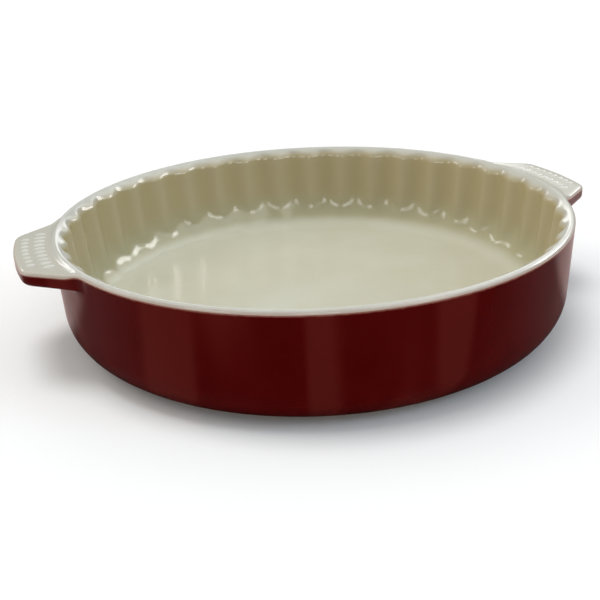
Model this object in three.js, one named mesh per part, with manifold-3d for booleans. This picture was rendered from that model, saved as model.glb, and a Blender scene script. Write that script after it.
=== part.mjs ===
// Round fluted baking dish with two tab handles, in glazed stoneware.
// Millimetres, +Z up. The origin is the centre of the foot's underside, and the handles lie on the X axis.

import * as THREE from 'three';
import { mergeVertices } from 'three/addons/utils/BufferGeometryUtils.js';
import Module from 'manifold-3d';

const wasm = await Module();
wasm.setup();

// Driving dimensions of the finished dish, measured over its glaze
const RIM_RADIUS = 140;
const HEIGHT = 60;
const RIM_WIDTH = 8.5; // rim, from the outside to the ridges between flutes
const RIM_CREST_WIDTH = 2.6; // level crest of the rim, from the outside to where it starts to slope
const RIM_SLOPE_DROP = 3; // how far the rim falls from its crest to the ridges
const RIM_ROUND = 1.5; // rounding of the rim's outer edge
const RIM_CREAM_DROP = 1.8; // how far the cream comes down over the rim's outer edge
const OUTER_DRAFT = 1.6; // how far the outer wall draws in above the lower corner
const CORNER_RADIUS = 21.7; // lower corner, outside
const INNER_DRAFT = 3; // how far the ridges draw in on their way down
const COVE_RADIUS = 16; // inside corner between wall and floor
const FLOOR_THICKNESS = 8;
const FLUTE_COUNT = 38;
const FLUTE_DEPTH = 2.4;
const FLUTE_LIFT = 0.3; // how far a flute's upper end rises on the slope of the rim

// Driving dimensions of the foot
const FOOT_HEIGHT = 1.5;
const FOOT_WIDTH = 8;
const FOOT_INSET = 1;

// Driving dimensions of a handle
const HANDLE_REACH = 19.1; // rim to the tip, on the handle's axis
const HANDLE_ROOT_WIDTH = 80.6; // across the straight sides, level with the rim
const HANDLE_SIDE_SLOPE = 0.755; // how fast each side closes in on the axis
const HANDLE_THICKNESS = 7.5;
const HANDLE_DROP = 1.5; // how far the handle's top lies below the rim
const HANDLE_EDGE_ROUND = 2.5;
const HANDLE_CORNER_RADIUS = 9;
const HANDLE_FILLET_RADIUS = 16; // hollow sweep from the rim into the side
const HANDLE_FILLET_LIP = 1; // height of the blunt end of that sweep
const HANDLE_CREAM_DROP = 2; // how far the cream comes down over the edge

// Coats and the gaps around them
const GLAZE = 0.5;
const BOND_GAP = 0.1; // between a coat and the clay under it
const SLIP_GAP = 0.3; // between two members joined with slip

// Faceting
const FLUTED_SEGMENTS = 4 * FLUTE_COUNT;
const ROUND_SEGMENTS = 2 * FLUTE_COUNT;
const COVE_STEPS = 2;
const CORNER_STEPS = 3;
const HANDLE_ARC_SEGMENTS = 2;
const HANDLE_EDGE_STEPS = 2;
const WELD = 1e-4;

// Derived sizes
const CLAY_DEPTH = GLAZE + BOND_GAP; // how far the clay lies below the finished surface
const FLOOR_TOP = FOOT_HEIGHT + FLOOR_THICKNESS;
const WALL_FOOT_RADIUS = RIM_RADIUS - OUTER_DRAFT;
const RIDGE_RIM_RADIUS = RIM_RADIUS - RIM_WIDTH;
const RIDGE_FOOT_RADIUS = RIDGE_RIM_RADIUS - INNER_DRAFT;
const PARTING_HEIGHT = HEIGHT - RIM_CREAM_DROP;
const HANDLE_TOP = HEIGHT - HANDLE_DROP;

// Finishes
const STONEWARE = { color: 0xcbb79a, roughness: 0.8, metalness: 0 };
const CREAM_GLAZE = { color: 0xdcdac4, roughness: 0.12, metalness: 0 };
const RED_GLAZE = { color: 0x6a0f0c, roughness: 0.08, metalness: 0 };

// One point of a section: radius, height, and how far out and up the flutes press it
function sectionPoint(radius, height, flute = 0, lift = 0) {
  return { radius, height, flute, lift };
}

// Points on an arc of a section, from one angle to another
function sectionArc(centreRadius, centreHeight, radius, from, to, steps, fluteAt = () => 0) {
  const points = [];
  for (let step = 0; step <= steps; step += 1) {
    const share = step / steps;
    const angle = from + (to - from) * share;
    const across = centreRadius + radius * Math.cos(angle);
    const up = centreHeight + radius * Math.sin(angle);
    points.push(sectionPoint(across, up, fluteAt(share)));
  }
  return points;
}

// Cove between floor and wall, where the flutes run out, a depth below the glaze
function coveSection(depth) {
  const centreRadius = RIDGE_FOOT_RADIUS - COVE_RADIUS;
  const centreHeight = FLOOR_TOP + COVE_RADIUS;
  const deepen = (share) => FLUTE_DEPTH * share;
  return sectionArc(centreRadius, centreHeight, COVE_RADIUS + depth, -Math.PI / 2, 0, COVE_STEPS, deepen);
}

// Slope of the rim, from the top of the fluted wall to the crest, a depth below the glaze
function rimSlopeSection(depth) {
  const slope = Math.atan2(RIM_SLOPE_DROP, RIM_WIDTH - RIM_CREST_WIDTH);
  const low = HEIGHT - RIM_SLOPE_DROP - depth * Math.tan(Math.PI / 4 - slope / 2);
  const crestRadius = RIM_RADIUS - RIM_CREST_WIDTH + depth * Math.tan(slope / 2);
  return [
    sectionPoint(RIDGE_RIM_RADIUS + depth, low, FLUTE_DEPTH, FLUTE_LIFT),
    sectionPoint(crestRadius, HEIGHT - depth),
  ];
}

// Inside of the dish, from the middle of the floor to the start of the rim's crest, a depth below the glaze
function insideSection(depth) {
  return [sectionPoint(0, FLOOR_TOP - depth), ...coveSection(depth), ...rimSlopeSection(depth)];
}

// Outer rounding of the rim, from the wall to the top, a depth below the glaze
function rimEdgeSection(depth) {
  return sectionArc(RIM_RADIUS - RIM_ROUND, HEIGHT - RIM_ROUND, RIM_ROUND - depth, 0, Math.PI / 2, 1);
}

// Lower corner, from the wall down to the level of the foot's top, a depth below the glaze
function cornerSection(depth) {
  const radius = CORNER_RADIUS - depth;
  const end = -Math.asin((CORNER_RADIUS - FOOT_HEIGHT) / radius);
  return sectionArc(WALL_FOOT_RADIUS - CORNER_RADIUS, CORNER_RADIUS, radius, 0, end, CORNER_STEPS);
}

// Radius of the outer wall at a height, on the straight stretch and its extension
function wallRadius(height) {
  const rise = HEIGHT - RIM_ROUND - CORNER_RADIUS;
  return WALL_FOOT_RADIUS + (OUTER_DRAFT * (height - CORNER_RADIUS)) / rise;
}

// Turn a closed section, listed anticlockwise, about Z and press the flutes into it
function turned(section, segments) {
  const points = section.map((point) => new THREE.Vector2(point.radius, point.height));
  const geometry = new THREE.LatheGeometry(points, segments);
  geometry.rotateX(Math.PI / 2);
  const position = geometry.getAttribute('position');
  for (let index = 0; index < position.count; index += 1) {
    const point = section[index % section.length];
    const angle = Math.atan2(position.getY(index), position.getX(index));
    const press = Math.abs(Math.cos((FLUTE_COUNT * angle) / 2));
    const radius = point.radius + point.flute * press;
    const height = point.height + point.lift * press;
    position.setXYZ(index, radius * Math.cos(angle), radius * Math.sin(angle), height);
  }
  return geometry;
}

// The same for a plain round piece, with its flats drawn out to the true radius
function turnedRound(section) {
  const spread = 1 / Math.cos(Math.PI / ROUND_SEGMENTS);
  const widened = section.map((point) => sectionPoint(point.radius * spread, point.height));
  return turned(widened, ROUND_SEGMENTS);
}

// Closed mesh to solid, for joining and cutting
function solidOf(geometry) {
  const bare = geometry.clone();
  bare.deleteAttribute('normal');
  bare.deleteAttribute('uv');
  const welded = mergeVertices(bare, WELD);
  const corners = welded.getIndex().array;
  const kept = [];
  for (let first = 0; first < corners.length; first += 3) {
    const [a, b, c] = corners.slice(first, first + 3);
    if (a !== b && b !== c && c !== a) kept.push(a, b, c);
  }
  const vertProperties = new Float32Array(welded.getAttribute('position').array);
  const triVerts = new Uint32Array(kept);
  return new wasm.Manifold(new wasm.Mesh({ numProp: 3, vertProperties, triVerts }));
}

// Solid back to a mesh's geometry
function geometryOf(solid) {
  const mesh = solid.getMesh();
  const geometry = new THREE.BufferGeometry();
  geometry.setAttribute('position', new THREE.BufferAttribute(mesh.vertProperties, 3));
  geometry.setIndex(new THREE.BufferAttribute(mesh.triVerts, 1));
  geometry.computeVertexNormals();
  return geometry;
}

// Everything inside the clay's outer wall, grown by a gap, taller than the dish
function wallCore(gap) {
  const low = -HEIGHT;
  const high = 2 * HEIGHT;
  const section = [
    sectionPoint(0, low),
    sectionPoint(wallRadius(low) - CLAY_DEPTH + gap, low),
    sectionPoint(wallRadius(high) - CLAY_DEPTH + gap, high),
    sectionPoint(0, high),
  ];
  return solidOf(turned(section, FLUTED_SEGMENTS));
}

// Handle seen from above: hollow sweeps out of the rim, straight sides, round corners, curved tip
function handleOutline() {
  const root = new THREE.Vector2(RIM_RADIUS, HANDLE_ROOT_WIDTH / 2);
  const along = new THREE.Vector2(1, -HANDLE_SIDE_SLOPE).normalize();
  const outward = new THREE.Vector2(-along.y, along.x);
  const tipRadius = RIM_RADIUS + HANDLE_REACH;
  const sweepRadius = RIM_RADIUS + HANDLE_FILLET_LIP;

  // centre of an arc that touches the side, and whose own centre lies on a circle about the dish
  function arcCentre(sideOffset, circleRadius) {
    const start = root.clone().addScaledVector(outward, sideOffset);
    const slope = along.dot(start);
    const travel = Math.sqrt(slope * slope - start.lengthSq() + circleRadius * circleRadius) - slope;
    return start.addScaledVector(along, travel);
  }
  const sweep = arcCentre(HANDLE_FILLET_RADIUS, sweepRadius + HANDLE_FILLET_RADIUS);
  const corner = arcCentre(-HANDLE_CORNER_RADIUS, tipRadius - HANDLE_CORNER_RADIUS);
  const sideAngle = outward.angle();
  const sweepAngle = sweep.angle();
  const cornerAngle = corner.angle();
  const inner = RIM_RADIUS - RIM_WIDTH;

  const shape = new THREE.Shape();
  shape.moveTo(inner * Math.cos(sweepAngle), -inner * Math.sin(sweepAngle));
  shape.lineTo(sweepRadius * Math.cos(sweepAngle), -sweepRadius * Math.sin(sweepAngle));
  shape.absarc(sweep.x, -sweep.y, HANDLE_FILLET_RADIUS, Math.PI - sweepAngle, Math.PI - sideAngle, true);
  shape.absarc(corner.x, -corner.y, HANDLE_CORNER_RADIUS, -sideAngle, -cornerAngle, false);
  shape.absarc(0, 0, tipRadius, -cornerAngle, cornerAngle, false);
  shape.absarc(corner.x, corner.y, HANDLE_CORNER_RADIUS, cornerAngle, sideAngle, false);
  shape.absarc(sweep.x, sweep.y, HANDLE_FILLET_RADIUS, Math.PI + sideAngle, Math.PI + sweepAngle, true);
  shape.lineTo(inner * Math.cos(sweepAngle), inner * Math.sin(sweepAngle));

  // two curves that meet share a point, which is kept once
  const points = shape.getPoints(HANDLE_ARC_SEGMENTS);
  const apart = points.filter((point, index) => point.distanceTo(points[(index + 1) % points.length]) > WELD);
  return new THREE.Shape(apart);
}

// Handle slab with rounded edges, a depth below its finished surface, before the wall is cut out of it
function handleSlab(depth) {
  const straight = HANDLE_THICKNESS - 2 * HANDLE_EDGE_ROUND;
  const geometry = new THREE.ExtrudeGeometry(handleOutline(), {
    depth: straight,
    bevelSegments: HANDLE_EDGE_STEPS,
    bevelThickness: HANDLE_EDGE_ROUND - depth,
    bevelSize: HANDLE_EDGE_ROUND - depth,
    bevelOffset: -HANDLE_EDGE_ROUND,
  });
  geometry.translate(0, 0, HANDLE_TOP - HANDLE_THICKNESS + HANDLE_EDGE_ROUND);
  return solidOf(geometry);
}

// Everything above a height, or below it, wide enough to cut a handle's coat in two
function halfSpace(height, above) {
  const size = 4 * (RIM_RADIUS + HANDLE_REACH);
  const box = new THREE.BoxGeometry(size, size, size);
  box.translate(0, 0, height + (above ? size / 2 : -size / 2));
  return solidOf(box);
}

// The whole dish without its foot and handles, a depth below the glaze
function dishGeometry(depth) {
  const section = [
    sectionPoint(0, FOOT_HEIGHT),
    ...cornerSection(depth).reverse(),
    ...rimEdgeSection(depth),
    ...insideSection(depth).reverse(),
  ];
  return turned(section, FLUTED_SEGMENTS);
}

const cornerEnd = cornerSection(CLAY_DEPTH)[CORNER_STEPS];
const footOuterRadius = cornerEnd.radius - FOOT_INSET;
const footInnerRadius = footOuterRadius - FOOT_WIDTH;

function footGeometry() {
  return turnedRound([
    sectionPoint(footInnerRadius, 0),
    sectionPoint(footOuterRadius, 0),
    sectionPoint(footOuterRadius, FOOT_HEIGHT),
    sectionPoint(footInnerRadius, FOOT_HEIGHT),
    sectionPoint(footInnerRadius, 0),
  ]);
}

function baseGlazeGeometry() {
  const top = FOOT_HEIGHT - BOND_GAP;
  const radius = footInnerRadius - SLIP_GAP;
  return turnedRound([
    sectionPoint(0, top - GLAZE),
    sectionPoint(radius, top - GLAZE),
    sectionPoint(radius, top),
    sectionPoint(0, top),
  ]);
}

// Cuts the handles' places out of a coat, with a gap all round
function withoutHandles(geometry) {
  const place = handleSlab(-SLIP_GAP).subtract(wallCore(0));
  const rightPlace = geometryOf(place);
  const leftPlace = rightPlace.clone().rotateZ(Math.PI);
  return geometryOf(solidOf(geometry).subtract(solidOf(rightPlace)).subtract(solidOf(leftPlace)));
}

// All that is glazed cream: the inside to a depth within the clay, and what lies above the parting line
function creamZone() {
  const depth = (RIM_WIDTH - FLUTE_DEPTH) / 2;
  const over = RIM_RADIUS + HANDLE_REACH;
  const section = [
    sectionPoint(0, FLOOR_TOP - depth),
    ...coveSection(depth),
    sectionPoint(RIDGE_RIM_RADIUS + depth, PARTING_HEIGHT, FLUTE_DEPTH),
    sectionPoint(over, PARTING_HEIGHT),
    sectionPoint(over, 2 * HEIGHT),
    sectionPoint(0, 2 * HEIGHT),
  ];
  return solidOf(turned(section, FLUTED_SEGMENTS));
}

function insideGlazeGeometry() {
  const coat = solidOf(dishGeometry(0)).subtract(solidOf(dishGeometry(GLAZE)));
  return withoutHandles(geometryOf(coat.intersect(creamZone())));
}

function outsideGlazeGeometry() {
  const top = PARTING_HEIGHT - BOND_GAP;
  const back = [sectionPoint(wallRadius(top) - GLAZE, top), ...cornerSection(GLAZE)];
  const face = [...cornerSection(0).reverse(), sectionPoint(wallRadius(top), top)];
  return withoutHandles(turnedRound([...face, ...back, face[0]]));
}

const rootCut = wallCore(SLIP_GAP);
const handleCoat = handleSlab(0).subtract(handleSlab(GLAZE)).subtract(rootCut);
const creamEdge = HANDLE_TOP - HANDLE_CREAM_DROP;

function handleGeometry() {
  return geometryOf(handleSlab(CLAY_DEPTH).subtract(rootCut));
}

function handleTopGlazeGeometry() {
  return geometryOf(handleCoat.intersect(halfSpace(creamEdge, true)));
}

function handleUnderGlazeGeometry() {
  return geometryOf(handleCoat.intersect(halfSpace(creamEdge - BOND_GAP, false)));
}

function piece(name, geometry, finish) {
  const mesh = new THREE.Mesh(geometry, new THREE.MeshStandardMaterial(finish));
  mesh.name = name;
  return mesh;
}

const dish = new THREE.Group();
dish.add(piece('dish_body', dishGeometry(CLAY_DEPTH), STONEWARE));
dish.add(piece('foot_ring', footGeometry(), STONEWARE));
dish.add(piece('inside_glaze', insideGlazeGeometry(), CREAM_GLAZE));
dish.add(piece('outside_glaze', outsideGlazeGeometry(), RED_GLAZE));
dish.add(piece('base_glaze', baseGlazeGeometry(), CREAM_GLAZE));

for (const [side, turn] of [['left', Math.PI], ['right', 0]]) {
  const handle = new THREE.Group();
  handle.rotation.z = turn;
  handle.add(piece(`${side}_handle`, handleGeometry(), STONEWARE));
  handle.add(piece(`${side}_handle_top_glaze`, handleTopGlazeGeometry(), CREAM_GLAZE));
  handle.add(piece(`${side}_handle_under_glaze`, handleUnderGlazeGeometry(), RED_GLAZE));
  dish.add(handle);
}

export default dish;
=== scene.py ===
import math

import bmesh
import bpy
from mathutils import Matrix, Quaternion, Vector


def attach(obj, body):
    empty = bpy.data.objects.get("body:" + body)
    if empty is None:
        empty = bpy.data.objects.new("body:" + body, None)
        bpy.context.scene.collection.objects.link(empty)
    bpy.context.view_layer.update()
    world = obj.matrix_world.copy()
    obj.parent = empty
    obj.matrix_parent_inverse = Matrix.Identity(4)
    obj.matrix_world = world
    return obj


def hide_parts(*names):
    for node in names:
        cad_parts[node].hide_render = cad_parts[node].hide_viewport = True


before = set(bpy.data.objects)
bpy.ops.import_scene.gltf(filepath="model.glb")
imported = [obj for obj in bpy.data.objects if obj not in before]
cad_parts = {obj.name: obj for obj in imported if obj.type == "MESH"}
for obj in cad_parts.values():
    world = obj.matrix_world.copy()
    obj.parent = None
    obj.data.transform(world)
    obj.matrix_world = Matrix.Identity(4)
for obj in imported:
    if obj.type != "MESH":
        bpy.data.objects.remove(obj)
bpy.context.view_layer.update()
scene = bpy.context.scene


# The clay body: a bowl and two tab handles in buff stoneware, jiggered, pressed and joined with slip.
# The flutes are pressed into its wall from inside. The glazes cover it, so that it shows only as a
# narrow bare ring around the foot.

HEIGHT = 0.060
RIM_RADIUS = 0.140
RIM_OUTER_ROUND = 0.0018
CREST_RADIUS = 0.1374
CREST_ROUND = 0.0025
SLOPE_DROP = 0.003
LEDGE_ROUND = 0.0055
PARTING_HEIGHT = HEIGHT - RIM_OUTER_ROUND
WALL_FOOT_RADIUS = 0.1384
CORNER_RADIUS = 0.0217
CLAY_UNDERSIDE = 0.0015

FLOOR_TOP = 0.0095
COVE_RADIUS = 0.016
RIDGE_RIM_RADIUS = 0.1315
RIDGE_FOOT_RADIUS = 0.1285
FLUTE_COUNT = 38
FLUTE_DEPTH = 0.0024
FLUTE_LIFT = 0.13
FLUTE_COVE_SHARE = 0.5
SCOOP_LOW = 0.0195
SCOOP_HIGH = 0.0285
RIDGE_SOFTNESS = 0.7

HANDLE_REACH = 0.0191
HANDLE_ROOT_HALF = 0.0403
HANDLE_SIDE_SLOPE = 0.755
HANDLE_CORNER_RADIUS = 0.009
HANDLE_SWEEP_RADIUS = 0.016
HANDLE_DROP = 0.0015
HANDLE_DROP_REACH = 0.005
HANDLE_FALL_WIDTH = 0.0035
HANDLE_UNDERSIDE = 0.0510
HANDLE_UNDERSIDE_FALL = 0.0006
HANDLE_LOWER_ROUND = 0.0025
HANDLE_HOLLOW = 0.0043

CLAY_DEPTH = 0.0006
CLAY_TONE = (0.60, 0.48, 0.33, 1)
CLAY_GROG_TONE = (0.36, 0.25, 0.15, 1)
CLAY_GRAIN_DEPTH = 0.0002
CLAY_GRAIN_STRENGTH = 0.6
GROG_SCALE = 700.0
GROG_EDGE = (0.12, 0.3)
SAND_SCALE = 1400.0
SAND_DETAIL = 4.0
SAND_ROUGHNESS = (0.7, 0.95)
NOISE_CORE = (0.3, 0.7)

CLAY_STEPS_PER_FLUTE = 8
CLAY_BASE_STEPS = 5
FLOOR_STEPS = 6
COVE_STEPS = 14
WALL_STEPS = 8
LEDGE_STEPS = 5
SLOPE_STEPS = 5
CREST_STEPS = 4
HANDLE_FALL_STEPS = 6
HANDLE_TOP_STEPS = 5
HANDLE_ROUND_STEPS = 6
HANDLE_EDGE_STEPS = 4
HANDLE_UNDERSIDE_STEPS = 8
HANDLE_HOLLOW_STEPS = 6
OUTER_WALL_STEPS = 9
CORNER_STEPS = 12
CLOSE = 1e-6

tip_radius = RIM_RADIUS + HANDLE_REACH
flat_end = tip_radius - RIM_OUTER_ROUND
cove_centre = RIDGE_FOOT_RADIUS - COVE_RADIUS
cove_top = FLOOR_TOP + COVE_RADIUS
ledge = Vector((RIDGE_RIM_RADIUS, HEIGHT - SLOPE_DROP))
crest = Vector((CREST_RADIUS, HEIGHT))
slope_along = (crest - ledge).normalized()
wall_lean = math.atan2(RIDGE_RIM_RADIUS - RIDGE_FOOT_RADIUS, ledge.y - cove_top)
into_wall = Vector((math.cos(wall_lean), -math.sin(wall_lean)))
into_slope = Vector((slope_along.y, -slope_along.x))
into_crest = Vector((0, -1))

handle_root = Vector((RIM_RADIUS, HANDLE_ROOT_HALF))
side_along = Vector((1, -HANDLE_SIDE_SLOPE)).normalized()
side_outward = Vector((-side_along.y, side_along.x))
side_angle = math.atan2(side_outward.y, side_outward.x)


def rounding_centre(corner, into_first, into_second, rounding):
    """Centre of the rounding of a corner in the section, from the directions into its two faces."""
    return corner + (into_first + into_second) * rounding / (1 + into_first.dot(into_second))


ledge_centre = rounding_centre(ledge, into_wall, into_slope, LEDGE_ROUND)
crest_centre = rounding_centre(crest, into_slope, into_crest, CREST_ROUND)
fade_start = ledge_centre.dot(slope_along) - LEDGE_ROUND / 2
slope_end = crest_centre.dot(slope_along)


def centre_beside_handle(offset, distance):
    """Point at an offset from a handle's straight side, and at a distance from the dish's axis."""
    start = handle_root + side_outward * offset
    slope = side_along.dot(start)
    return start + side_along * (math.sqrt(slope * slope - start.length_squared + distance**2) - slope)


def angle_of(point):
    return math.atan2(point.y, point.x)


handle_corner = centre_beside_handle(-HANDLE_CORNER_RADIUS, tip_radius - HANDLE_CORNER_RADIUS)
handle_sweep = centre_beside_handle(HANDLE_SWEEP_RADIUS, RIM_RADIUS + HANDLE_SWEEP_RADIUS)
side_outer_angle = angle_of(handle_corner + side_outward * HANDLE_CORNER_RADIUS)
side_inner_angle = angle_of(handle_sweep - side_outward * HANDLE_SWEEP_RADIUS)


def handle_reach(angle):
    """How far the handles' outline stands beyond the rim at an angle about the dish's axis."""
    off_axis = abs(math.remainder(angle, math.pi))
    if off_axis <= angle_of(handle_corner):
        return HANDLE_REACH
    if off_axis <= side_outer_angle:
        swing = off_axis - angle_of(handle_corner)
        along = handle_corner.length * math.cos(swing)
        across = handle_corner.length * math.sin(swing)
        return along + math.sqrt(HANDLE_CORNER_RADIUS**2 - across**2) - RIM_RADIUS
    if off_axis <= side_inner_angle:
        return handle_root.dot(side_outward) / math.cos(off_axis - side_angle) - RIM_RADIUS
    if off_axis < angle_of(handle_sweep):
        swing = angle_of(handle_sweep) - off_axis
        along = handle_sweep.length * math.cos(swing)
        across = handle_sweep.length * math.sin(swing)
        return along - math.sqrt(HANDLE_SWEEP_RADIUS**2 - across**2) - RIM_RADIUS
    return 0.0


def smooth(share):
    share = min(1.0, max(0.0, share))
    return share * share * (3 - 2 * share)


def handle_drop(angle):
    """How far the handles' top lies below the rim at an angle, less where a handle starts."""
    return HANDLE_DROP * smooth(handle_reach(angle) / HANDLE_DROP_REACH)


def wall_radius(height):
    rise = (height - CORNER_RADIUS) / (PARTING_HEIGHT - CORNER_RADIUS)
    return WALL_FOOT_RADIUS + (RIM_RADIUS - WALL_FOOT_RADIUS) * rise


handle_edge_low = HANDLE_UNDERSIDE + HANDLE_LOWER_ROUND
hollow_low = HANDLE_UNDERSIDE - HANDLE_UNDERSIDE_FALL - HANDLE_HOLLOW
hollow_radius = wall_radius(hollow_low) + HANDLE_HOLLOW


def flute_at(angle):
    """Depth of the flutes at an angle, from 0 on a softened ridge to 1 in the middle of a flute."""
    wave = math.hypot(math.cos(FLUTE_COUNT * angle / 2), RIDGE_SOFTNESS)
    return (wave - RIDGE_SOFTNESS) / (math.hypot(1, RIDGE_SOFTNESS) - RIDGE_SOFTNESS)


def flute_share(radius, height):
    """Share of the flutes' depth at a point of the section: less in the cove, all above the scoop."""
    if radius <= cove_centre:
        return 0.0
    climb = 1.0
    if height < cove_top:
        climb = math.atan2(radius - cove_centre, cove_top - height) / (math.pi / 2)
    scoop = (height - SCOOP_LOW) / (SCOOP_HIGH - SCOOP_LOW)
    share = FLUTE_COVE_SHARE * smooth(climb) + (1 - FLUTE_COVE_SHARE) * smooth(scoop)
    along = Vector((radius, height)).dot(slope_along)
    return share * smooth((slope_end - along) / (slope_end - fade_start))


def start_section(radius, height):
    bm = bmesh.new()
    return bm, bm.verts.new((radius, 0, height))


def draw_line(bm, pen, radius, height, steps=1):
    """Carries a section on in a straight line to a radius and a height."""
    move = (Vector((radius, 0, height)) - pen.co) / steps
    for _ in range(steps):
        pen = bmesh.ops.extrude_vert_indiv(bm, verts=[pen])["verts"][0]
        bmesh.ops.translate(bm, verts=[pen], vec=move)
    return pen


def draw_arc(bm, pen, centre_radius, centre_height, turn, steps):
    """Carries a section on round a centre; a turn above zero goes from up towards outwards."""
    centre = (centre_radius, 0, centre_height)
    made = bmesh.ops.spin(bm, geom=[pen], cent=centre, axis=(0, 1, 0), angle=turn, steps=steps)
    return next(part for part in made["geom_last"] if isinstance(part, bmesh.types.BMVert))


def draw_inside(depth):
    """Section of the floor, the wall and the rim at a depth in the glaze, out to a handle's edge."""
    bm, pen = start_section(0, FLOOR_TOP - depth)
    pen = draw_line(bm, pen, cove_centre, FLOOR_TOP - depth, FLOOR_STEPS)
    pen = draw_arc(bm, pen, cove_centre, cove_top, wall_lean - math.pi / 2, COVE_STEPS)
    pen = draw_line(bm, pen, *(ledge_centre - into_wall * (LEDGE_ROUND - depth)), WALL_STEPS)
    pen = draw_arc(bm, pen, *ledge_centre, into_wall.angle(into_slope), LEDGE_STEPS)
    pen = draw_line(bm, pen, *(crest_centre - into_slope * (CREST_ROUND - depth)), SLOPE_STEPS)
    pen = draw_arc(bm, pen, *crest_centre, into_slope.angle(into_crest), CREST_STEPS)
    pen = draw_line(bm, pen, crest_centre.x + HANDLE_FALL_WIDTH, HEIGHT - depth, HANDLE_FALL_STEPS)
    pen = draw_line(bm, pen, flat_end, HEIGHT - depth, HANDLE_TOP_STEPS)
    return bm, draw_arc(bm, pen, flat_end, PARTING_HEIGHT, math.pi / 2, HANDLE_ROUND_STEPS)


def draw_outside(bm, pen, depth):
    """Carries a section on from a handle's edge, under the handle and down the wall to the underside."""
    lower_round = tip_radius - HANDLE_LOWER_ROUND
    corner_centre = WALL_FOOT_RADIUS - CORNER_RADIUS
    corner_turn = math.asin((CORNER_RADIUS - CLAY_UNDERSIDE) / (CORNER_RADIUS - depth))
    pen = draw_line(bm, pen, tip_radius - depth, handle_edge_low, HANDLE_EDGE_STEPS)
    pen = draw_arc(bm, pen, lower_round, handle_edge_low, math.pi / 2, HANDLE_ROUND_STEPS)
    pen = draw_line(bm, pen, hollow_radius, hollow_low + HANDLE_HOLLOW + depth, HANDLE_UNDERSIDE_STEPS)
    pen = draw_arc(bm, pen, hollow_radius, hollow_low, -math.pi / 2, HANDLE_HOLLOW_STEPS)
    pen = draw_line(bm, pen, WALL_FOOT_RADIUS - depth, CORNER_RADIUS, OUTER_WALL_STEPS)
    return draw_arc(bm, pen, corner_centre, CORNER_RADIUS, corner_turn, CORNER_STEPS)


def turn_section(bm, sectors, steps):
    """Spins the section through one sector and the sector round the axis, and closes seams and pole."""
    sector_angle = math.tau / sectors
    axis = {"cent": (0, 0, 0), "axis": (0, 0, 1)}
    bmesh.ops.spin(bm, geom=bm.verts[:] + bm.edges[:], angle=sector_angle, steps=steps, **axis)
    sector = bm.verts[:] + bm.edges[:] + bm.faces[:]
    round_angle = math.tau - sector_angle
    bmesh.ops.spin(bm, geom=sector, angle=round_angle, steps=sectors - 1, use_duplicate=True, **axis)
    bmesh.ops.remove_doubles(bm, verts=bm.verts, dist=CLOSE)
    bmesh.ops.recalc_face_normals(bm, faces=bm.faces)


def move_to_radius(vert, radius):
    share = radius / vert.co.xy.length
    vert.co.x *= share
    vert.co.y *= share


def shape_dish(bm, depth):
    """Draws a turned section in to the handles' outline and presses the flutes into its wall."""
    own_width = RIM_RADIUS - RIM_OUTER_ROUND - crest_centre.x
    edge_height = PARTING_HEIGHT - handle_edge_low
    for vert in bm.verts:
        radius = vert.co.xy.length
        height = vert.co.z
        angle = angle_of(vert.co)
        reach = handle_reach(angle)
        wall = wall_radius(height) - depth
        if height > PARTING_HEIGHT - CLOSE and radius > flat_end:
            move_to_radius(vert, radius - HANDLE_REACH + reach)
            vert.co.z -= handle_drop(angle)
        elif height > PARTING_HEIGHT and radius > crest_centre.x + CLOSE:
            width = own_width + reach
            beyond = (radius - crest_centre.x) * width / (own_width + HANDLE_REACH)
            move_to_radius(vert, crest_centre.x + beyond)
            vert.co.z -= handle_drop(angle) * smooth(beyond / min(HANDLE_FALL_WIDTH, width))
        elif height > hollow_low and radius > wall:
            move_to_radius(vert, wall + (radius - wall) * reach / HANDLE_REACH)
            vert.co.z -= handle_drop(angle) * max(0.0, (height - handle_edge_low) / edge_height)
        elif height > FLOOR_TOP - depth - CLOSE and radius > cove_centre:
            if radius < RIDGE_RIM_RADIUS + depth or height > ledge_centre.y:
                press = FLUTE_DEPTH * flute_at(angle) * flute_share(radius, height)
                move_to_radius(vert, radius + press)
                rise = min(1.0, max(0.0, (height - cove_top) / (ledge_centre.y - cove_top)))
                vert.co.z += press * rise * FLUTE_LIFT


def finish_piece(name, bm, material):
    for face in bm.faces:
        face.smooth = True
    mesh = bpy.data.meshes.new(name)
    bm.to_mesh(mesh)
    bm.free()
    mesh.materials.append(material)
    piece = bpy.data.objects.new(name, mesh)
    scene.collection.objects.link(piece)
    return piece


def add_node(tree, kind, **settings):
    node = tree.nodes.new(kind)
    for setting, value in settings.items():
        setattr(node, setting, value)
    return node


def start_group(name, inputs, outputs):
    group = bpy.data.node_groups.new(name, "ShaderNodeTree")
    for label, kind in inputs:
        group.interface.new_socket(name=label, in_out="INPUT", socket_type=kind)
    for label, kind in outputs:
        group.interface.new_socket(name=label, in_out="OUTPUT", socket_type=kind)
    return group, add_node(group, "NodeGroupInput"), add_node(group, "NodeGroupOutput")


def start_material(name):
    material = bpy.data.materials.new(name)
    material.use_nodes = True
    tree = material.node_tree
    shader = tree.nodes["Principled BSDF"]
    place = add_node(tree, "ShaderNodeTexCoord").outputs["Object"]
    return material, tree, shader, place


def use_group(tree, group, place, **values):
    node = add_node(tree, "ShaderNodeGroup", node_tree=group)
    tree.links.new(place, node.inputs["Place"])
    for label, value in values.items():
        node.inputs[label.replace("_", " ").capitalize()].default_value = value
    return node


def add_bump(tree, shader, height, distance, strength):
    bump = add_node(tree, "ShaderNodeBump")
    bump.inputs["Distance"].default_value = distance
    bump.inputs["Strength"].default_value = strength
    tree.links.new(height, bump.inputs["Height"])
    tree.links.new(bump.outputs["Normal"], shader.inputs["Normal"])


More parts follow.
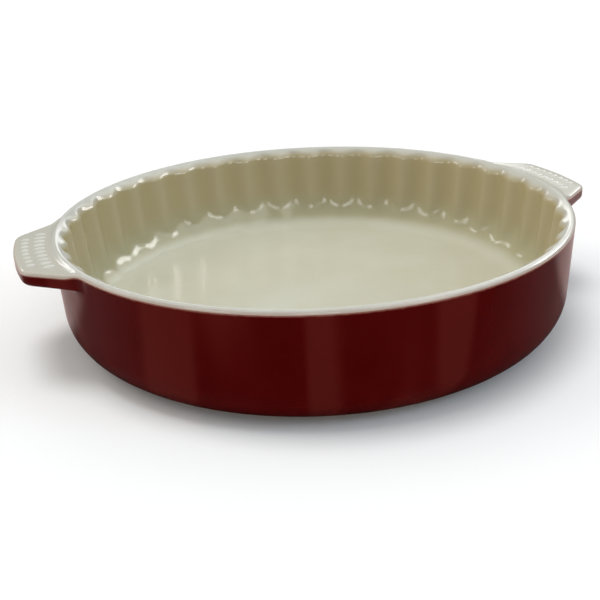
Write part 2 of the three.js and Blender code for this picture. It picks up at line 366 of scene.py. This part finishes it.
def map_range(tree, value, low, high, bottom=0.0, top=1.0):
    node = add_node(tree, "ShaderNodeMapRange", interpolation_type="SMOOTHSTEP")
    node.inputs["From Min"].default_value = low
    node.inputs["From Max"].default_value = high
    node.inputs["To Min"].default_value = bottom
    node.inputs["To Max"].default_value = top
    tree.links.new(value, node.inputs["Value"])
    return node.outputs["Result"]


def mix_colours(tree, share, first, second):
    node = add_node(tree, "ShaderNodeMix", data_type="RGBA")
    for socket, source in ((0, share), (6, first), (7, second)):
        if isinstance(source, bpy.types.NodeSocket):
            tree.links.new(source, node.inputs[socket])
        else:
            node.inputs[socket].default_value = source
    return node.outputs[2]


def combine(tree, operation, first, second):
    node = add_node(tree, "ShaderNodeMath", operation=operation)
    tree.links.new(first, node.inputs[0])
    tree.links.new(second, node.inputs[1])
    return node.outputs[0]


def clay_grain_group():
    inputs = [("Place", "NodeSocketVector"), ("Clay", "NodeSocketColor"), ("Grog", "NodeSocketColor")]
    outputs = [("Colour", "NodeSocketColor"), ("Roughness", "NodeSocketFloat"), ("Height", "NodeSocketFloat")]
    group, given, made = start_group("clay_grain", inputs, outputs)
    grog = add_node(group, "ShaderNodeTexVoronoi")
    grog.inputs["Scale"].default_value = GROG_SCALE
    sand = add_node(group, "ShaderNodeTexNoise")
    sand.inputs["Scale"].default_value = SAND_SCALE
    sand.inputs["Detail"].default_value = SAND_DETAIL
    for texture in (grog, sand):
        group.links.new(given.outputs["Place"], texture.inputs["Vector"])
    specks = map_range(group, grog.outputs["Distance"], *GROG_EDGE, 1.0, 0.0)
    colour = mix_colours(group, specks, given.outputs["Clay"], given.outputs["Grog"])
    group.links.new(colour, made.inputs["Colour"])
    roughness = map_range(group, sand.outputs["Fac"], *NOISE_CORE, *SAND_ROUGHNESS)
    group.links.new(roughness, made.inputs["Roughness"])
    group.links.new(sand.outputs["Fac"], made.inputs["Height"])
    return group


clay_grain = clay_grain_group()


def stoneware_material(name, clay, grog):
    material, tree, shader, place = start_material(name)
    grain = use_group(tree, clay_grain, place, clay=clay, grog=grog)
    tree.links.new(grain.outputs["Colour"], shader.inputs["Base Color"])
    tree.links.new(grain.outputs["Roughness"], shader.inputs["Roughness"])
    add_bump(tree, shader, grain.outputs["Height"], CLAY_GRAIN_DEPTH, CLAY_GRAIN_STRENGTH)
    return material


bm, pen = draw_inside(CLAY_DEPTH)
pen = draw_outside(bm, pen, CLAY_DEPTH)
draw_line(bm, pen, 0, CLAY_UNDERSIDE, CLAY_BASE_STEPS)
turn_section(bm, FLUTE_COUNT, CLAY_STEPS_PER_FLUTE)
shape_dish(bm, CLAY_DEPTH)
bare_clay = stoneware_material("bare_clay", CLAY_TONE, CLAY_GROG_TONE)
clay_body = finish_piece("clay_body", bm, bare_clay)
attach(clay_body, "root")
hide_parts("dish_body", "left_handle", "right_handle")


# The foot ring: the bare stoneware ring that the dish stands on, wiped clean of glaze before firing.
# Its lower edges are fettled round with a sponge, and use has left it a little darker than the body.

FOOT_OUTER_RADIUS = 0.12185
FOOT_INNER_RADIUS = 0.11385
FOOT_ROUND = 0.0009
FOOT_STEPS = 3
FOOT_ROUND_STEPS = 5
WORN_TONE = (0.50, 0.39, 0.26, 1)
WORN_GROG_TONE = (0.28, 0.19, 0.11, 1)
ROUND_SECTORS = 24
ROUND_STEPS = 10

bm, pen = start_section(FOOT_INNER_RADIUS, CLAY_UNDERSIDE)
pen = draw_line(bm, pen, FOOT_INNER_RADIUS, FOOT_ROUND)
pen = draw_arc(bm, pen, FOOT_INNER_RADIUS + FOOT_ROUND, FOOT_ROUND, -math.pi / 2, FOOT_ROUND_STEPS)
pen = draw_line(bm, pen, FOOT_OUTER_RADIUS - FOOT_ROUND, 0, FOOT_STEPS)
pen = draw_arc(bm, pen, FOOT_OUTER_RADIUS - FOOT_ROUND, FOOT_ROUND, -math.pi / 2, FOOT_ROUND_STEPS)
pen = draw_line(bm, pen, FOOT_OUTER_RADIUS, CLAY_UNDERSIDE)
draw_line(bm, pen, FOOT_INNER_RADIUS, CLAY_UNDERSIDE)
turn_section(bm, ROUND_SECTORS, ROUND_STEPS)
worn_clay = stoneware_material("worn_clay", WORN_TONE, WORN_GROG_TONE)
foot = finish_piece("foot", bm, worn_clay)
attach(foot, "root")
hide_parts("foot_ring")


# The base glaze: a thin coat of the cream glaze, brushed on the underside within the foot ring.
# It stays clear of the surface that the dish stands on, and it is duller than the inside.

BASE_RADIUS = 0.1135
BASE_LOW = 0.0009
BASE_HIGH = 0.0014
BASE_STEPS = 8
BASE_ROUND_STEPS = 4
BASE_TOP_STEPS = 2
CLOUD_DETAIL = 3.0
RIPPLE_DETAIL = 1.0
PINHOLE_SCALE = 220.0
PINHOLE_EDGE = (0.02, 0.07)
PINHOLE_DEPTH = 0.4
PLAIN_RIPPLE_DEPTH = 0.0003
PLAIN_RIPPLE_STRENGTH = 0.4


def fired_glaze_group():
    inputs = [
        ("Place", "NodeSocketVector"),
        ("Body", "NodeSocketColor"),
        ("Pooled", "NodeSocketColor"),
        ("Cloud scale", "NodeSocketFloat"),
        ("Ripple scale", "NodeSocketFloat"),
        ("Smoothest", "NodeSocketFloat"),
        ("Dullest", "NodeSocketFloat"),
    ]
    outputs = [("Colour", "NodeSocketColor"), ("Roughness", "NodeSocketFloat"), ("Height", "NodeSocketFloat")]
    group, given, made = start_group("fired_glaze", inputs, outputs)
    clouds = add_node(group, "ShaderNodeTexNoise")
    clouds.inputs["Detail"].default_value = CLOUD_DETAIL
    group.links.new(given.outputs["Cloud scale"], clouds.inputs["Scale"])
    ripples = add_node(group, "ShaderNodeTexNoise")
    ripples.inputs["Detail"].default_value = RIPPLE_DETAIL
    group.links.new(given.outputs["Ripple scale"], ripples.inputs["Scale"])
    pinholes = add_node(group, "ShaderNodeTexVoronoi")
    pinholes.inputs["Scale"].default_value = PINHOLE_SCALE
    for texture in (clouds, ripples, pinholes):
        group.links.new(given.outputs["Place"], texture.inputs["Vector"])
    thickness = map_range(group, clouds.outputs["Fac"], *NOISE_CORE)
    colour = mix_colours(group, thickness, given.outputs["Body"], given.outputs["Pooled"])
    group.links.new(colour, made.inputs["Colour"])
    dullness = add_node(group, "ShaderNodeMix", data_type="FLOAT")
    group.links.new(thickness, dullness.inputs[0])
    group.links.new(given.outputs["Dullest"], dullness.inputs[2])
    group.links.new(given.outputs["Smoothest"], dullness.inputs[3])
    group.links.new(dullness.outputs[0], made.inputs["Roughness"])
    pits = map_range(group, pinholes.outputs["Distance"], *PINHOLE_EDGE, -PINHOLE_DEPTH, 0.0)
    group.links.new(combine(group, "ADD", ripples.outputs["Fac"], pits), made.inputs["Height"])
    return group


fired_glaze = fired_glaze_group()


def plain_glaze_material(name, **values):
    """Glaze of one tone all over, from the values of the fired glaze."""
    material, tree, shader, place = start_material(name)
    glaze = use_group(tree, fired_glaze, place, **values)
    tree.links.new(glaze.outputs["Colour"], shader.inputs["Base Color"])
    tree.links.new(glaze.outputs["Roughness"], shader.inputs["Roughness"])
    add_bump(tree, shader, glaze.outputs["Height"], PLAIN_RIPPLE_DEPTH, PLAIN_RIPPLE_STRENGTH)
    return material


base_glaze = plain_glaze_material(
    "base_glaze", body=(0.58, 0.55, 0.42, 1), pooled=(0.50, 0.46, 0.33, 1),
    cloud_scale=45.0, ripple_scale=160.0, smoothest=0.16, dullest=0.34,
)
base_flat_end = BASE_RADIUS - (BASE_HIGH - BASE_LOW)
bm, pen = start_section(0, BASE_LOW)
pen = draw_line(bm, pen, base_flat_end, BASE_LOW, BASE_STEPS)
pen = draw_arc(bm, pen, base_flat_end, BASE_HIGH, -math.pi / 2, BASE_ROUND_STEPS)
draw_line(bm, pen, 0, BASE_HIGH, BASE_TOP_STEPS)
turn_section(bm, ROUND_SECTORS, ROUND_STEPS)
base = finish_piece("base_coat", bm, base_glaze)
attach(base, "root")
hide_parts("base_glaze")


# The red glaze: a glossy cherry coat poured over the outer wall, the lower corner and the handles' edges.
# It is one skin: the handles grow out of the wall with a soft hollow below, and it thins to tan at its top.

GLAZE_THICKNESS = 0.0005
GLAZE_STEPS_PER_FLUTE = 20
RED_BREAK_WIDTH = 0.0016
RED_BREAK_TONE = (0.30, 0.12, 0.085, 1)
# The streak tone, edge and share here and the streak noise below paint faint lighter vertical streaks into
# the red as painted reflection.
RED_REFLECTION_STREAK_TONE = (0.105, 0.011, 0.008, 1)
RED_REFLECTION_STREAK_EDGE = (0.52, 0.60)
RED_REFLECTION_STREAK_SHARE = 0.6
RED_RIPPLE_DEPTH = 0.0004
RED_RIPPLE_STRENGTH = 0.25
REFLECTION_STREAK_SCALE = 26.0
REFLECTION_STREAK_DETAIL = 1.0
REFLECTION_STREAK_STRETCH = (1, 1, 0.06)
FRAY_SCALE = 260.0
FRAY_DETAIL = 3.0
FRAY_SHARE = 0.5
BREAK_EDGE = (0.55, 1.2)


def glaze_break_group():
    inputs = [
        ("Place", "NodeSocketVector"),
        ("Glaze", "NodeSocketColor"),
        ("Break", "NodeSocketColor"),
        ("Thin", "NodeSocketFloat"),
    ]
    group, given, made = start_group("glaze_break", inputs, [("Colour", "NodeSocketColor")])
    fray = add_node(group, "ShaderNodeTexNoise")
    fray.inputs["Scale"].default_value = FRAY_SCALE
    fray.inputs["Detail"].default_value = FRAY_DETAIL
    group.links.new(given.outputs["Place"], fray.inputs["Vector"])
    frayed = add_node(group, "ShaderNodeMath", operation="MULTIPLY_ADD")
    frayed.inputs[1].default_value = FRAY_SHARE
    group.links.new(fray.outputs["Fac"], frayed.inputs[0])
    group.links.new(given.outputs["Thin"], frayed.inputs[2])
    bare = map_range(group, frayed.outputs[0], *BREAK_EDGE)
    colour = mix_colours(group, bare, given.outputs["Glaze"], given.outputs["Break"])
    group.links.new(colour, made.inputs["Colour"])
    return group


glaze_break = glaze_break_group()


def red_glaze_material():
    material, tree, shader, place = start_material("red_glaze")
    glaze = use_group(
        tree, fired_glaze, place,
        body=(0.070, 0.0009, 0.0009, 1), pooled=(0.062, 0.0007, 0.0007, 1),
        cloud_scale=38.0, ripple_scale=70.0, smoothest=0.04, dullest=0.09,
    )
    # Painted reflection: stretched noise lays faint lighter vertical streaks over the red, in place of soft
    # bands that the glossy wall mirrors.
    flat = add_node(tree, "ShaderNodeVectorMath", operation="MULTIPLY")
    flat.inputs[1].default_value = REFLECTION_STREAK_STRETCH
    tree.links.new(place, flat.inputs[0])
    reflection_streaks = add_node(tree, "ShaderNodeTexNoise")
    reflection_streaks.inputs["Scale"].default_value = REFLECTION_STREAK_SCALE
    reflection_streaks.inputs["Detail"].default_value = REFLECTION_STREAK_DETAIL
    tree.links.new(flat.outputs[0], reflection_streaks.inputs["Vector"])
    painted_reflection = map_range(tree, reflection_streaks.outputs["Fac"], *RED_REFLECTION_STREAK_EDGE, 0.0, RED_REFLECTION_STREAK_SHARE)
    with_reflection_streaks = mix_colours(tree, painted_reflection, glaze.outputs["Colour"], RED_REFLECTION_STREAK_TONE)
    thin = add_node(tree, "ShaderNodeAttribute", attribute_name="thin")
    broken = use_group(tree, glaze_break, place)
    broken.inputs["Break"].default_value = RED_BREAK_TONE
    tree.links.new(with_reflection_streaks, broken.inputs["Glaze"])
    tree.links.new(thin.outputs["Fac"], broken.inputs["Thin"])
    tree.links.new(broken.outputs["Colour"], shader.inputs["Base Color"])
    tree.links.new(glaze.outputs["Roughness"], shader.inputs["Roughness"])
    add_bump(tree, shader, glaze.outputs["Height"], RED_RIPPLE_DEPTH, RED_RIPPLE_STRENGTH)
    return material


def coat_with_glaze(name, bm, material):
    """Finishes a skin as a piece with the thickness of its glaze, towards the clay."""
    for edge in bm.edges:
        edge.smooth = not edge.is_boundary
    piece = finish_piece(name, bm, material)
    coat = piece.modifiers.new("glaze thickness", "SOLIDIFY")
    coat.thickness = GLAZE_THICKNESS
    coat.offset = -1
    return piece


bm, pen = start_section(tip_radius, PARTING_HEIGHT)
draw_outside(bm, pen, 0)
turn_section(bm, FLUTE_COUNT, GLAZE_STEPS_PER_FLUTE)
thin_layer = bm.verts.layers.float.new("thin")
for vert in bm.verts:
    vert[thin_layer] = max(0.0, 1 - (PARTING_HEIGHT - vert.co.z) / RED_BREAK_WIDTH)
shape_dish(bm, 0)
highest = max(bm.faces, key=lambda face: face.calc_center_median().z)
if highest.normal.dot(highest.calc_center_median()) < 0:
    bmesh.ops.reverse_faces(bm, faces=bm.faces)
red_coat = coat_with_glaze("red_coat", bm, red_glaze_material())
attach(red_coat, "root")
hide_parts("outside_glaze", "left_handle_under_glaze", "right_handle_under_glaze")


# The cream glaze: a glossy coat over the floor, the fluted wall, the rim and the tops of the handles.
# It pools in the flutes and on the floor, runs thin and warm on the wall, and breaks to tan at the edges.
# Its wall is also painted darker than the floor as shade, and the cove between them a darker olive as painted
# shade.

CREAM_BREAK_WIDTH = 0.0018
CREAM_BREAK_START = 1.3
CREAM_BREAK_TONE = (0.47, 0.39, 0.33, 1)
CREAM_RIPPLE_DEPTH = 0.0004
CREAM_RIPPLE_STRENGTH = 0.2
# The cove tone is painted shade in the corner between floor and wall.
COVE_SHADE_TONE = (0.44, 0.415, 0.265, 1)
COVE_SHADE_HEIGHTS = (0.0104, 0.0165)
# The ridge and flute tones are the wall's thin, warm glaze, and are also painted darker than the floor as
# shade.
RIDGE_TONE_WITH_SHADE = (0.485, 0.415, 0.255, 1)
FLUTE_TONE_WITH_SHADE = (0.445, 0.372, 0.21, 1)
WALL_SHADE_HEIGHTS = (0.0160, 0.0360)
RIM_TONE = (0.55, 0.547, 0.49, 1)
RIM_TONE_HEIGHTS = (0.0550, 0.0599)


def cream_glaze_material():
    material, tree, shader, place = start_material("cream_glaze")
    glaze = use_group(
        tree, fired_glaze, place,
        body=(0.60, 0.594, 0.485, 1), pooled=(0.575, 0.565, 0.445, 1),
        cloud_scale=30.0, ripple_scale=90.0, smoothest=0.12, dullest=0.20,
    )
    pool = add_node(tree, "ShaderNodeAttribute", attribute_name="pool")
    wall_tone_and_shade = mix_colours(tree, pool.outputs["Fac"], RIDGE_TONE_WITH_SHADE, FLUTE_TONE_WITH_SHADE)
    height = add_node(tree, "ShaderNodeSeparateXYZ")
    tree.links.new(place, height.inputs[0])
    # Painted shade: up from the floor the colour darkens to the cove tone, then to the wall tones.
    in_shaded_cove = map_range(tree, height.outputs["Z"], *COVE_SHADE_HEIGHTS)
    on_shaded_wall = map_range(tree, height.outputs["Z"], *WALL_SHADE_HEIGHTS)
    on_rim = map_range(tree, height.outputs["Z"], *RIM_TONE_HEIGHTS)
    with_cove_shade = mix_colours(tree, in_shaded_cove, glaze.outputs["Colour"], COVE_SHADE_TONE)
    inside_tone_and_shade = mix_colours(tree, on_shaded_wall, with_cove_shade, wall_tone_and_shade)
    thin = add_node(tree, "ShaderNodeAttribute", attribute_name="thin")
    broken = use_group(tree, glaze_break, place)
    broken.inputs["Break"].default_value = CREAM_BREAK_TONE
    tree.links.new(mix_colours(tree, on_rim, inside_tone_and_shade, RIM_TONE), broken.inputs["Glaze"])
    tree.links.new(thin.outputs["Fac"], broken.inputs["Thin"])
    tree.links.new(broken.outputs["Colour"], shader.inputs["Base Color"])
    tree.links.new(glaze.outputs["Roughness"], shader.inputs["Roughness"])
    add_bump(tree, shader, glaze.outputs["Height"], CREAM_RIPPLE_DEPTH, CREAM_RIPPLE_STRENGTH)
    return material


bm, pen = draw_inside(0)
turn_section(bm, FLUTE_COUNT, GLAZE_STEPS_PER_FLUTE)
thin_layer = bm.verts.layers.float.new("thin")
pool_layer = bm.verts.layers.float.new("pool")
for vert in bm.verts:
    radius = vert.co.xy.length
    vert[pool_layer] = flute_at(angle_of(vert.co)) * flute_share(radius, vert.co.z)
    vert[thin_layer] = 0.0
    if radius > flat_end:
        rise = (vert.co.z - PARTING_HEIGHT) / CREAM_BREAK_WIDTH
        vert[thin_layer] = max(0.0, CREAM_BREAK_START - rise)
shape_dish(bm, 0)
middle = min(bm.faces, key=lambda face: face.calc_center_median().xy.length)
if middle.normal.z < 0:
    bmesh.ops.reverse_faces(bm, faces=bm.faces)
cream_coat = coat_with_glaze("cream_coat", bm, cream_glaze_material())
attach(cream_coat, "root")
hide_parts("inside_glaze", "left_handle_top_glaze", "right_handle_top_glaze")


# The handles' relief: two rows of short raised ribs on each handle's top, as a grip for the thumbs.
# They are pressed with the handle from the same clay, and lie under the cream glaze as soft bumps.

RIB_ROWS = ((0.1460, 0.0066, 10), (0.1532, 0.0046, 8))
RIB_SPACING = 0.0058
RIB_WIDTH = 0.0034
RIB_HEIGHT = 0.0007
RIB_SINK = 0.0006
RIB_SEGMENTS = 18
RIB_RINGS = 12

bm = bmesh.new()
for row_radius, rib_length, rib_count in RIB_ROWS:
    for rib_index in range(rib_count):
        ball = bmesh.ops.create_uvsphere(bm, u_segments=RIB_SEGMENTS, v_segments=RIB_RINGS, radius=1)
        rib = ball["verts"]
        swing = (rib_index - (rib_count - 1) / 2) * RIB_SPACING / row_radius
        bmesh.ops.scale(bm, verts=rib, vec=(rib_length / 2, RIB_WIDTH / 2, RIB_HEIGHT + RIB_SINK))
        bmesh.ops.translate(bm, verts=rib, vec=(row_radius, 0, HEIGHT - HANDLE_DROP - RIB_SINK))
        bmesh.ops.rotate(bm, verts=rib, cent=(0, 0, 0), matrix=Matrix.Rotation(swing, 3, "Z"))
bmesh.ops.spin(
    bm, geom=bm.verts[:] + bm.edges[:] + bm.faces[:], cent=(0, 0, 0), axis=(0, 0, 1),
    angle=math.pi, steps=1, use_duplicate=True,
)
# The ribs' glaze is a lighter cream than the handles' top: a painted highlight on the bumps.
relief_highlight_glaze = plain_glaze_material(
    "relief_highlight_glaze", body=(0.68, 0.675, 0.62, 1), pooled=(0.64, 0.63, 0.57, 1),
    cloud_scale=60.0, ripple_scale=90.0, smoothest=0.10, dullest=0.18,
)
relief = finish_piece("handle_relief", bm, relief_highlight_glaze)
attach(relief, "root")


# The table and the light: a white table under a soft lamp overhead, a warm one on the left and a cool one
# on the right. The glazes mirror none of them, but small glints all round, the bright right side of the room
# and a low window behind.

CAMERA_PLACE = Vector((-0.15532, -0.44954, 0.2100))
CAMERA_AIM = Vector((-0.02619, -0.05272, 0.030))
CAMERA_ROLL = math.radians(-2.7426)
LENS = 54.0
SENSOR_WIDTH = 36.0

TABLE_HALF_SIZE = 6.0
TABLE_SEGMENTS = 8
TABLE_LEVEL = -0.00005
TABLE_TONES = ((0.94, 0.94, 0.94, 1), (0.96, 0.96, 0.96, 1))
TABLE_MOTTLE_SCALE = 3.0
TABLE_ROUGHNESS = 0.9
TABLE_SHEEN = 0.1
# The mirrored tones below are painted reflection: the table's colour only as the glazes mirror it.
MIRRORED_FRONT_TONE = (0.01, 0.01, 0.01, 1)
MIRRORED_BESIDE_TONE = (0.11, 0.088, 0.086, 1)
MIRRORED_BACK_TONE = (0.50, 0.385, 0.365, 1)
MIRRORED_FRONT_END = (-0.18, -0.06)
MIRRORED_BACK_START = (-0.032, -0.002)
MIRRORED_TILT = 0.05

# Lamps by name, degrees to the right of behind, elevation, spread, brightness and colour
LAMPS = (
    ("overhead_lamp", -60, 82, 24, 1.1, (1, 1, 1)),
    ("left_lamp", -75, 40, 40, 0.5, (1, 0.92, 0.78)),
    ("right_lamp", 108, 32, 24, 0.48, (0.60, 0.82, 1)),
)
# Glints by name, degrees to the right of behind, elevation, width, height and brightness
GLINTS = (
    ("right_glint", 62, 28, 0.6, 0.26, 8.0),
    ("left_glint", -52, 26, 0.4, 0.12, 5.0),
    ("front_right_glint", 138, 20, 0.36, 0.30, 5.0),
    ("front_glint", 180, 20, 0.36, 0.30, 4.0),
    ("front_left_glint", -138, 20, 0.36, 0.30, 4.0),
    ("side_left_glint", -96, 22, 0.30, 0.24, 4.0),
)
GLINT_DISTANCE = 1.1

ROOM_LIGHT = 0.62
MIRRORED_ROOM_LIGHT = (0.25, 2.1)
RIGHT_SIDE_ACROSS = (0.10, 0.40)
RIGHT_SIDE_UPWARDS = (0.21, 0.35)
WINDOW_ACROSS = (-0.24, -0.14, 0.18, 0.28)
WINDOW_UPWARDS = (0.14, 0.22, 0.30, 0.37)
WINDOW_BEHIND = (0.5, 0.8)
WINDOW_LIGHT = 2.8

view_axis = (CAMERA_AIM - CAMERA_PLACE).normalized()
behind = Vector((view_axis.x, view_axis.y, 0)).normalized()
to_right = Vector((behind.y, -behind.x, 0))


def between(tree, value, start, full, fade, end):
    """1 where a value lies between two levels, with soft edges."""
    rise = map_range(tree, value, start, full)
    fall = map_range(tree, value, fade, end, 1.0, 0.0)
    return combine(tree, "MULTIPLY", rise, fall)


def measure_along(tree, place, axis):
    """How far a place or a direction lies along an axis."""
    node = add_node(tree, "ShaderNodeVectorMath", operation="DOT_PRODUCT")
    node.inputs[1].default_value = axis
    tree.links.new(place, node.inputs[0])
    return node.outputs["Value"]


floor_material, tree, shader, place = start_material("table_white")
mottle = add_node(tree, "ShaderNodeTexNoise")
mottle.inputs["Scale"].default_value = TABLE_MOTTLE_SCALE
tree.links.new(place, mottle.inputs["Vector"])
white = mix_colours(tree, mottle.outputs["Fac"], *TABLE_TONES)
# Painted reflection: in glossy rays the table is near black well in front of the dish, dim nearer to it and
# pinkish behind, while the camera sees it white.
depth = measure_along(tree, place, behind - to_right * MIRRORED_TILT)
past_front = map_range(tree, depth, *MIRRORED_FRONT_END)
beside = mix_colours(tree, past_front, MIRRORED_FRONT_TONE, MIRRORED_BESIDE_TONE)
at_back = map_range(tree, depth, *MIRRORED_BACK_START)
mirrored_tone = mix_colours(tree, at_back, beside, MIRRORED_BACK_TONE)
path = add_node(tree, "ShaderNodeLightPath")
table_tone = mix_colours(tree, path.outputs["Is Glossy Ray"], white, mirrored_tone)
tree.links.new(table_tone, shader.inputs["Base Color"])
shader.inputs["Roughness"].default_value = TABLE_ROUGHNESS
shader.inputs["Specular IOR Level"].default_value = TABLE_SHEEN
bm = bmesh.new()
bmesh.ops.create_grid(bm, x_segments=TABLE_SEGMENTS, y_segments=TABLE_SEGMENTS, size=TABLE_HALF_SIZE)
bmesh.ops.translate(bm, verts=bm.verts, vec=(0, 0, TABLE_LEVEL))
floor = finish_piece("table", bm, floor_material)


def direction(right_of_behind, elevation):
    """Direction from the dish, by degrees to the right of straight behind it and degrees above the table."""
    across = math.radians(right_of_behind)
    level = behind * math.cos(across) + to_right * math.sin(across)
    return level * math.cos(math.radians(elevation)) + Vector((0, 0, math.sin(math.radians(elevation))))


def hang_lamp(lamp, place, glint):
    lamp_object = bpy.data.objects.new(lamp.name, lamp)
    lamp_object.location = place
    lamp_object.rotation_mode = "QUATERNION"
    lamp_object.rotation_quaternion = (-place).to_track_quat("-Z", "Y")
    lamp_object.visible_glossy = glint
    lamp_object.visible_diffuse = not glint
    scene.collection.objects.link(lamp_object)


for name, right_of_behind, elevation, spread, brightness, colour in LAMPS:
    sky = bpy.data.lights.new(name, "SUN")
    sky.angle = math.radians(spread)
    sky.energy = brightness
    sky.color = colour
    hang_lamp(sky, direction(right_of_behind, elevation), False)

for name, right_of_behind, elevation, width, height, brightness in GLINTS:
    panel = bpy.data.lights.new(name, "AREA")
    panel.shape = "RECTANGLE"
    panel.size = width
    panel.size_y = height
    panel.energy = brightness * math.pi * width * height
    hang_lamp(panel, direction(right_of_behind, elevation) * GLINT_DISTANCE, True)

world = bpy.data.worlds.new("pale_room")
world.use_nodes = True
tree = world.node_tree
path = add_node(tree, "ShaderNodeLightPath")
facing = add_node(tree, "ShaderNodeTexCoord").outputs["Generated"]
across = measure_along(tree, facing, to_right)
upwards = measure_along(tree, facing, (0, 0, 1))
to_the_right = map_range(tree, across, *RIGHT_SIDE_ACROSS)
above_table = map_range(tree, upwards, *RIGHT_SIDE_UPWARDS)
right_side = combine(tree, "MULTIPLY", to_the_right, above_table)
pane_width = between(tree, across, *WINDOW_ACROSS)
pane_height = between(tree, upwards, *WINDOW_UPWARDS)
pane = combine(tree, "MULTIPLY", pane_width, pane_height)
backwards = measure_along(tree, facing, behind)
at_window = map_range(tree, backwards, *WINDOW_BEHIND, 0.0, WINDOW_LIGHT)
window = combine(tree, "MULTIPLY", pane, at_window)
room = map_range(tree, right_side, 0.0, 1.0, *MIRRORED_ROOM_LIGHT)
mirrored_room = combine(tree, "ADD", room, window)
glossy = combine(tree, "MULTIPLY", path.outputs["Is Glossy Ray"], mirrored_room)
background = tree.nodes["Background"]
background.inputs["Color"].default_value = (1, 1, 1, 1)
seen = combine(tree, "MAXIMUM", path.outputs["Is Camera Ray"], path.outputs["Is Transmission Ray"])
shown = combine(tree, "MAXIMUM", seen, path.outputs["Is Glossy Ray"])
fill = map_range(tree, shown, 0.0, 1.0, ROOM_LIGHT, 0.0)
strength = combine(tree, "ADD", combine(tree, "ADD", seen, glossy), fill)
tree.links.new(strength, background.inputs["Strength"])
scene.world = world

camera_data = bpy.data.cameras.new("camera")
camera_data.lens = LENS
camera_data.sensor_width = SENSOR_WIDTH
camera = bpy.data.objects.new("camera", camera_data)
camera.location = CAMERA_PLACE
camera.rotation_mode = "QUATERNION"
camera.rotation_quaternion = view_axis.to_track_quat("-Z", "Y") @ Quaternion((0, 0, 1), CAMERA_ROLL)
scene.collection.objects.link(camera)
scene.camera = camera
scene.view_settings.view_transform = "Standard"

bpy.context.view_layer.update()
